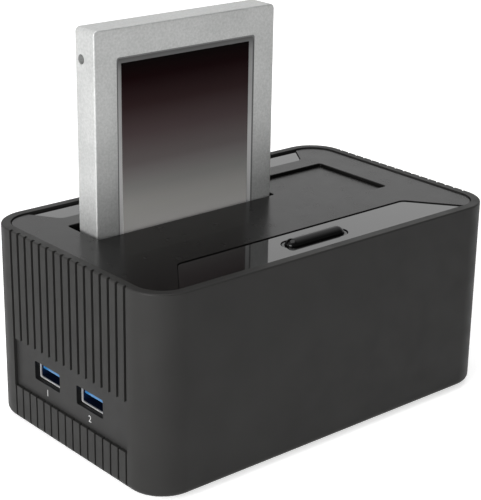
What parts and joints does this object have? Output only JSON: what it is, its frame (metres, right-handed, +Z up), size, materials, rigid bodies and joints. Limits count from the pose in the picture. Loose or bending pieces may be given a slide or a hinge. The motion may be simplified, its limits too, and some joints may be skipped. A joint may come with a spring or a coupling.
{
  "type": "hard drive docking station",
  "caption": "Desktop docking station with a rounded dark case, a sprung flap over its drive bay, a power bar button, side sockets and a docked 2.5-inch drive.",
  "frame": {"origin": "under the middle of the case, on the surface that its feet stand on", "axes": "+X to the right along the front of the case, +Y from the front to the back, +Z up"},
  "size_m": [0.14, 0.086, 0.1272],
  "materials": {
    "case_plastic": "fine satin moulded plastic, dark grey",
    "base_plastic": "satin moulded plastic, black",
    "port_plate_plastic": "fine satin moulded plastic, dark grey",
    "foot_rubber": "matt rubber",
    "screw_steel": "zinc plated",
    "deck_plastic": "semi-gloss, dark grey",
    "strip_gloss": "polished black",
    "bezel_gloss": "polished black",
    "button_gloss": "polished black",
    "flap_plastic": "semi-gloss, dark grey",
    "well_plastic": "satin black",
    "spring_steel": "drawn wire",
    "pin_steel": "ground rod",
    "board_green": "glass-fibre board with green resist",
    "chip_black": "moulded epoxy",
    "switch_black": "moulded plastic",
    "plunger_white": "moulded plastic",
    "led_lens": "clear lens",
    "header_ivory": "moulded plastic",
    "ribbon_white": "flat flexible ribbon",
    "can_metal": "drawn can",
    "ferrite_grey": "pressed ferrite",
    "port_steel": "nickel plated",
    "tongue_blue": "moulded plastic, blue",
    "contact_gold": "gold plated",
    "socket_black": "glass-filled plastic",
    "drive_metal": "bead-blasted casting",
    "drive_plate": "stamped sheet",
    "label_gloss": "laminated label"
  },
  "bodies": {
    "root": {"outer_shell": "case_plastic", "port_plate": "port_plate_plastic", "base_tray": "base_plastic", "rubber_feet": "foot_rubber", "case_screws": "screw_steel", "top_deck": "deck_plastic", "front_strip": "strip_gloss", "rear_strip": "strip_gloss", "button_bezel": "bezel_gloss", "button_springs": "spring_steel", "switch_board": "board_green", "switch_board_screws": "screw_steel", "button_switch": "switch_black", "status_led": "led_lens", "ribbon_headers": "header_ivory", "switch_ribbon": "ribbon_white", "drive_well": "well_plastic", "well_screws": "screw_steel", "flap_hinge_pin": "pin_steel", "flap_springs": "spring_steel", "main_board": "board_green", "board_screws": "screw_steel", "bridge_chip": "chip_black", "hub_chip": "chip_black", "memory_chip": "chip_black", "crystals": "can_metal", "power_inductors": "ferrite_grey", "capacitors": "can_metal", "side_port_shell_1": "port_steel", "side_port_tongue_1": "tongue_blue", "side_port_contacts_1": "contact_gold", "side_port_shell_2": "port_steel", "side_port_tongue_2": "tongue_blue", "side_port_contacts_2": "contact_gold", "uplink_port_shell": "port_steel", "uplink_port_core": "tongue_blue", "power_jack_body": "socket_black", "power_jack_pin": "contact_gold", "drive_connector_body": "socket_black", "drive_connector_contacts": "contact_gold"},
    "flap": {"bay_flap": "flap_plastic"},
    "button": {"power_button": "button_gloss", "switch_plunger": "plunger_white"},
    "drive": {"drive_case": "drive_metal", "drive_back_plate": "drive_plate", "drive_screws": "screw_steel", "drive_label": "label_gloss", "drive_plug": "socket_black", "drive_board": "board_green", "drive_chips": "chip_black"}
  },
  "joints": [
    {"name": "flap_hinge", "type": "hinge", "parent": "root", "child": "flap", "pos_m": [0, -0.0076, 0.0612], "axis": [-1, 0, 0], "range_deg": [0, 85], "stiffness_Nm_per_rad": 0.02, "springref_deg": -28.65},
    {"name": "button_press", "type": "slide", "parent": "root", "child": "button", "axis": [0, 0, -1], "range_m": [0, 0.001], "stiffness_N_per_m": 300, "springref_m": -0.002, "deforming": ["button_springs"]},
    {"name": "drive_slide", "type": "slide", "parent": "root", "child": "drive", "axis": [0, 0, 1], "range_m": [0, 0.05]}
  ]
}
